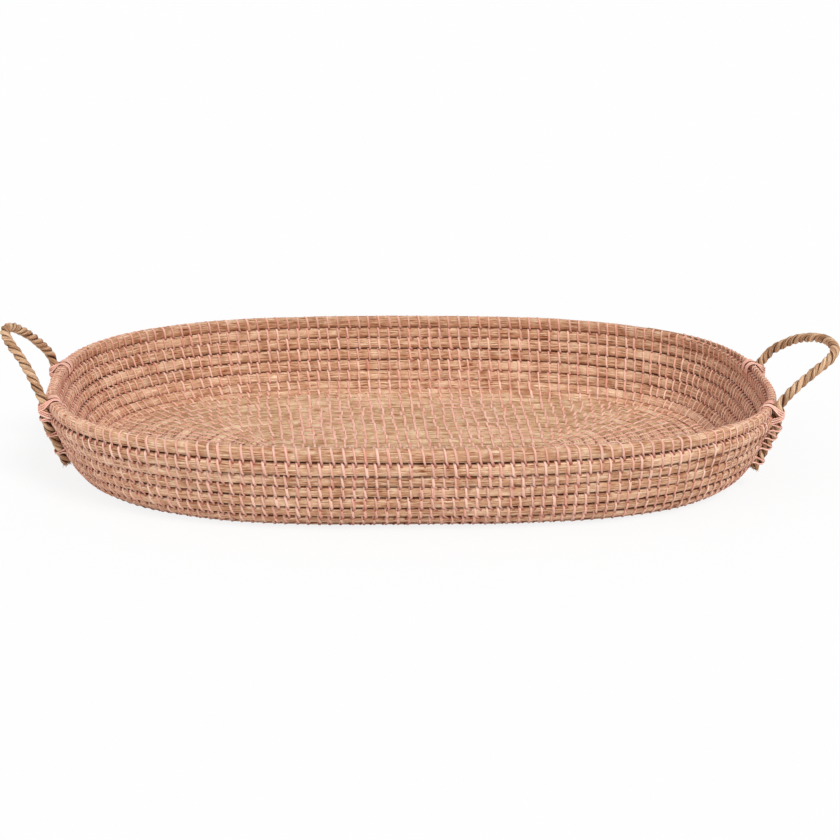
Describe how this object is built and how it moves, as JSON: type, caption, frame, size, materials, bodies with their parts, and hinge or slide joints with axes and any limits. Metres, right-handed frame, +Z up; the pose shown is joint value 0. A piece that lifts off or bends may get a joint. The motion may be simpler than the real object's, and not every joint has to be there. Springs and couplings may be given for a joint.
{
  "type": "changing basket",
  "caption": "Shallow oval tray of sewn coils with flared sides and a swinging rope handle lashed to each end, for laying a baby down to change.",
  "frame": {"origin": "on the ground under the middle of the basket with its handles, 5.4 mm to the right of the rim's own middle", "axes": "+X along the basket towards the right handle, +Y across it away from the picture's viewer, +Z up"},
  "size_m": [0.9004, 0.5, 0.1631],
  "materials": {
    "seagrass": "dry seagrass stems, satin, sewn with pale pink palm strands",
    "rope": "three-strand twisted seagrass rope, satin",
    "strand": "flat palm-leaf strand, dyed pink, satin"
  },
  "bodies": {
    "basket": {"floor_coil": "seagrass", "wall_coil": "seagrass", "rim_coil": "seagrass", "left_far_leg": "rope", "left_near_leg": "rope", "right_far_leg": "rope", "right_near_leg": "rope", "left_far_rim_lashing": "strand", "left_far_lashing_1": "strand", "left_far_lashing_2": "strand", "left_far_lashing_3": "strand", "left_near_rim_lashing": "strand", "left_near_lashing_1": "strand", "left_near_lashing_2": "strand", "left_near_lashing_3": "strand", "right_far_rim_lashing": "strand", "right_far_lashing_1": "strand", "right_far_lashing_2": "strand", "right_far_lashing_3": "strand", "right_far_lashing_4": "strand", "right_near_rim_lashing": "strand", "right_near_lashing_1": "strand", "right_near_lashing_2": "strand", "right_near_lashing_3": "strand", "right_near_lashing_4": "strand"},
    "left_handle": {"left_handle_loop": "rope"},
    "right_handle": {"right_handle_loop": "rope"}
  },
  "joints": [
    {"name": "left_handle_swing", "type": "hinge", "parent": "basket", "child": "left_handle", "pos_m": [-0.40365, -0.02224, 0.0952], "axis": [0.0623, -0.9981, -0.0001], "range_deg": [-30, 60]},
    {"name": "right_handle_swing", "type": "hinge", "parent": "basket", "child": "right_handle", "pos_m": [0.38775, -0.03798, 0.0952], "axis": [0.1216, 0.9926, 0.0001], "range_deg": [-30, 60]}
  ]
}
